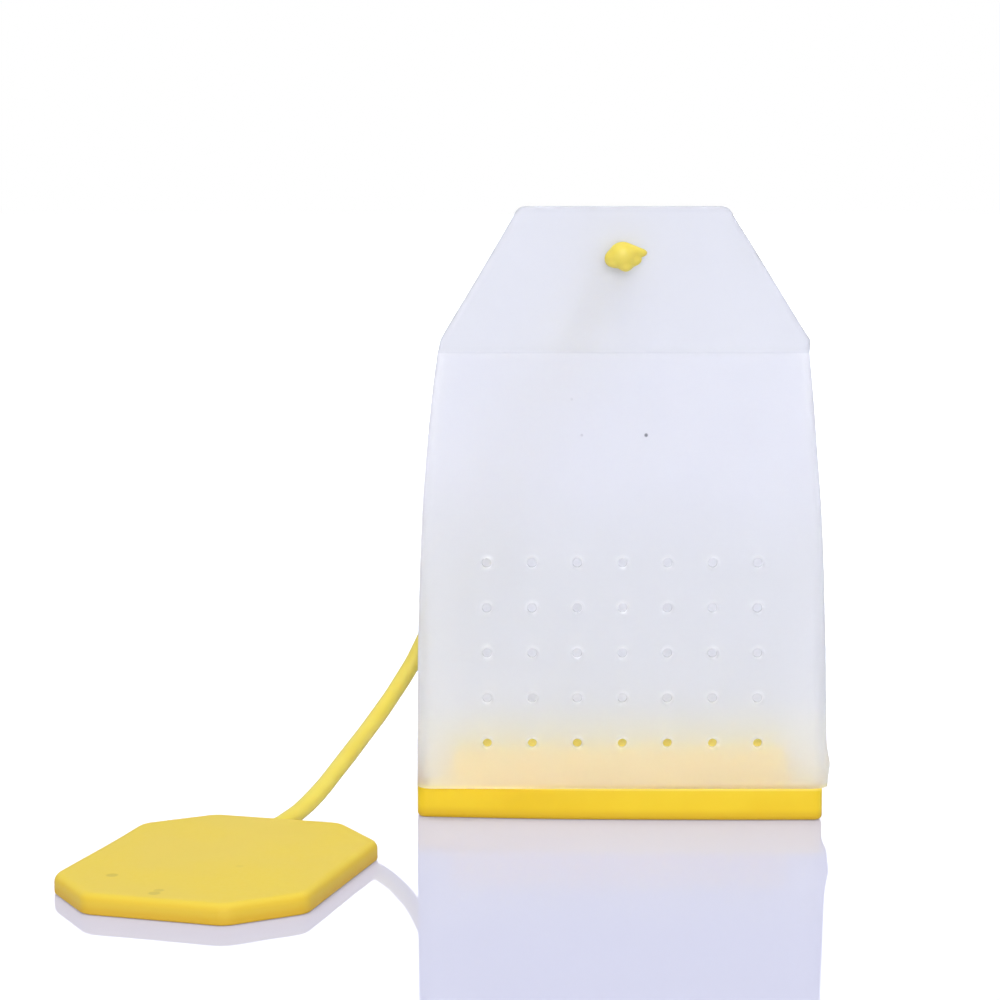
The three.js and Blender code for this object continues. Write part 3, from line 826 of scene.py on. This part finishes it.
# Studio: a glossy white table lit from within, a white world, two soft lamps, and a bright backdrop that only
# the table mirrors.
studio = {
    "floorHalf": 12.0, "floorSink": 0.00002, "floorColour": (0.36, 0.367, 0.464, 1),
    "floorGlow": (0.178, 0.18, 0.235, 1), "floorRough": 0.03, "floorRoughSpread": 0.2, "floorWearScale": 35.0,
    "floorIor": 1.25, "aim": (-0.01, -0.01, 0.03),
    "diffuseLevel": 0.44, "glossLevel": 1.0, "throughLevel": 0.7, "backdropLevel": 2.4,
    # the table mirrors the front lamp only
    "lamps": {"front": {"power": 5.7, "size": 0.6, "place": (0.05, -1.0, 0.42), "mirrored": True},
              "top": {"power": 3.2, "size": 0.5, "place": (-0.12, -0.12, 0.88), "mirrored": False}},
}


def makeStudio():
    p = studio
    h, sink = p["floorHalf"], -p["floorSink"]
    mesh = bpy.data.meshes.new("floor")
    mesh.from_pydata([(-h, -h, sink), (h, -h, sink), (h, h, sink), (-h, h, sink)], [], [(0, 1, 2, 3)])
    floor = bpy.data.objects.new("floor", mesh)
    bpy.context.scene.collection.objects.link(floor)
    material, tree, shader, place = startMaterial("glossy floor")
    wear = put(tree, "TexNoise", {"Vector": place, "Scale": p["floorWearScale"], "Detail": 2.0})
    rough = put(tree, "MapRange", {"Value": wear.outputs["Fac"],
                                   "To Min": p["floorRough"] * (1 - p["floorRoughSpread"]),
                                   "To Max": p["floorRough"] * (1 + p["floorRoughSpread"])})
    tree.links.new(rough.outputs["Result"], shader.inputs["Roughness"])
    shader.inputs["Base Color"].default_value = p["floorColour"]
    shader.inputs["Emission Color"].default_value = p["floorGlow"]
    shader.inputs["Emission Strength"].default_value = 1.0
    shader.inputs["IOR"].default_value = p["floorIor"]
    mesh.materials.append(material)

    world = bpy.data.worlds.new("white studio")
    bpy.context.scene.world = world
    world.use_nodes = True
    tree = world.node_tree
    tree.nodes.clear()
    path = put(tree, "LightPath")
    level = p["diffuseLevel"]
    for ray, share in (("Is Glossy Ray", p["glossLevel"]), ("Is Transmission Ray", p["throughLevel"]),
                       ("Is Camera Ray", 1.0)):
        step = put(tree, "MapRange", {"Value": path.outputs[ray], "To Min": level, "To Max": share})
        level = step.outputs["Result"]
    back = put(tree, "Background", {"Color": (1, 1, 1, 1), "Strength": level})
    put(tree, "OutputWorld", {"Surface": back.outputs[0]})

    for name, values in p["lamps"].items():
        lamp = bpy.data.objects.new(name + "_softbox", bpy.data.lights.new(name + "_softbox", "AREA"))
        lamp.data.size = values["size"]
        lamp.data.energy = values["power"]
        lamp.location = values["place"]
        lamp.visible_glossy = values["mirrored"]
        aim = Vector(p["aim"]) - lamp.location
        lamp.rotation_euler = aim.to_track_quat("-Z", "Y").to_euler()
        bpy.context.scene.collection.objects.link(lamp)

    backdrop = bpy.data.objects.new("backdrop_glow", bpy.data.lights.new("backdrop_glow", "SUN"))
    backdrop.data.angle = pi
    backdrop.data.energy = pi * p["backdropLevel"]
    backdrop.visible_camera = backdrop.visible_diffuse = backdrop.visible_transmission = False
    bpy.context.scene.collection.objects.link(backdrop)
    floorOnly = bpy.data.collections.new("floor only")
    floorOnly.objects.link(floor)
    backdrop.light_linking.receiver_collection = floorOnly


print("camera and cord")
makeCamera()
cordPiece, cordPath = makeCord()

print("pouch, plug, tag and barb")
pouchPiece = makePouch()
plugPiece = makePlug()
tagPiece = makeTag()
barbPiece = makeBarb()

print("materials")
skin = siliconeSkin()
coverPouch(pouchPiece.data, skin)
plugYellow = yellowMaterial("plug yellow silicone", skin, yellow["plug"])
cordYellow = yellowMaterial("cord yellow silicone", skin, yellow["cord"])
tagYellow = yellowMaterial("tag yellow silicone", skin, yellow["tag"])
plugPiece.data.materials.append(plugYellow)
barbPiece.data.materials.append(cordYellow)
cordPiece.data.materials.append(cordYellow)
tagPiece.data.materials.append(tagYellow)

print("studio")
makeStudio()

for piece, body, node, slot in ((pouchPiece, "pouch", "bag", "pouch_silicone"),
                                (plugPiece, "base", "stopper", "plug_silicone"),
                                (barbPiece, "pouch", "cord_knob", "plug_silicone"),
                                (tagPiece, "base", "tag", "tag_silicone")):
    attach(piece, body)
    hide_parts(node)
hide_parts("cord")
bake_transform(cordPiece)

bpy.context.scene.view_settings.view_transform = "Standard"
bpy.context.scene.cycles.use_denoising = True
